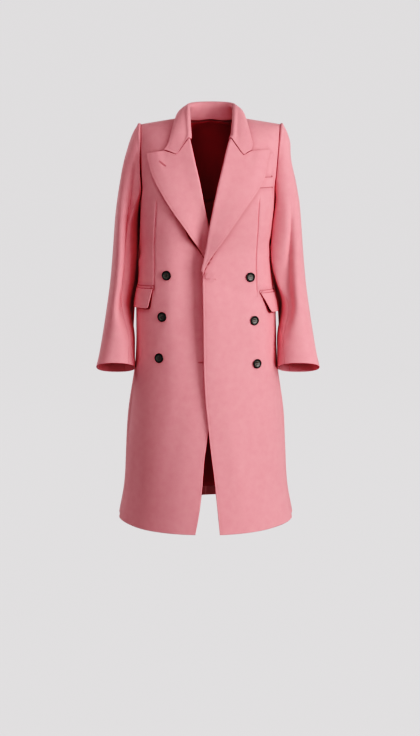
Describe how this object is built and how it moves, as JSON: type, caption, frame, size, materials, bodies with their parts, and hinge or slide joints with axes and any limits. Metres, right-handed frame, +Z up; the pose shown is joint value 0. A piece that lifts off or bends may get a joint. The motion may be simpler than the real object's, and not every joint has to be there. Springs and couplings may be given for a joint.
{
  "type": "double-breasted topcoat",
  "caption": "Calf-length tailored coat kept in its worn, hollow form: lapped fronts, peaked lapels, turned-down collar, long sleeves, flapped pockets and a dark lining.",
  "frame": {"origin": "on the coat's centre line, level with the neck ends of the shoulder seams, where the wearer's shoulders carry it", "axes": "+Z up, -Y out of the coat's front, +X towards the wearer's left"},
  "size_m": [0.5726, 0.3882, 1.0734],
  "materials": {
    "wool": "napped wool coating, matte with a soft sheen",
    "lining": "smooth dark satin lining",
    "button": "polished dark resin"
  },
  "bodies": {
    "root": {"front_left": "wool", "front_right": "wool", "side_panel_left": "wool", "side_panel_right": "wool", "back_left": "wool", "back_right": "wool", "top_sleeve_left": "wool", "top_sleeve_right": "wool", "under_sleeve_left": "wool", "under_sleeve_right": "wool", "collar": "wool", "lapel_left": "wool", "lapel_right": "wool", "flap_left": "wool", "flap_right": "wool", "jet_left": "wool", "jet_right": "wool", "breast_welt": "wool", "lining": "lining", "button_1_left": "button", "button_2_left": "button", "button_3_left": "button", "button_1_right": "button", "button_2_right": "button", "button_3_right": "button"}
  },
  "joints": []
}
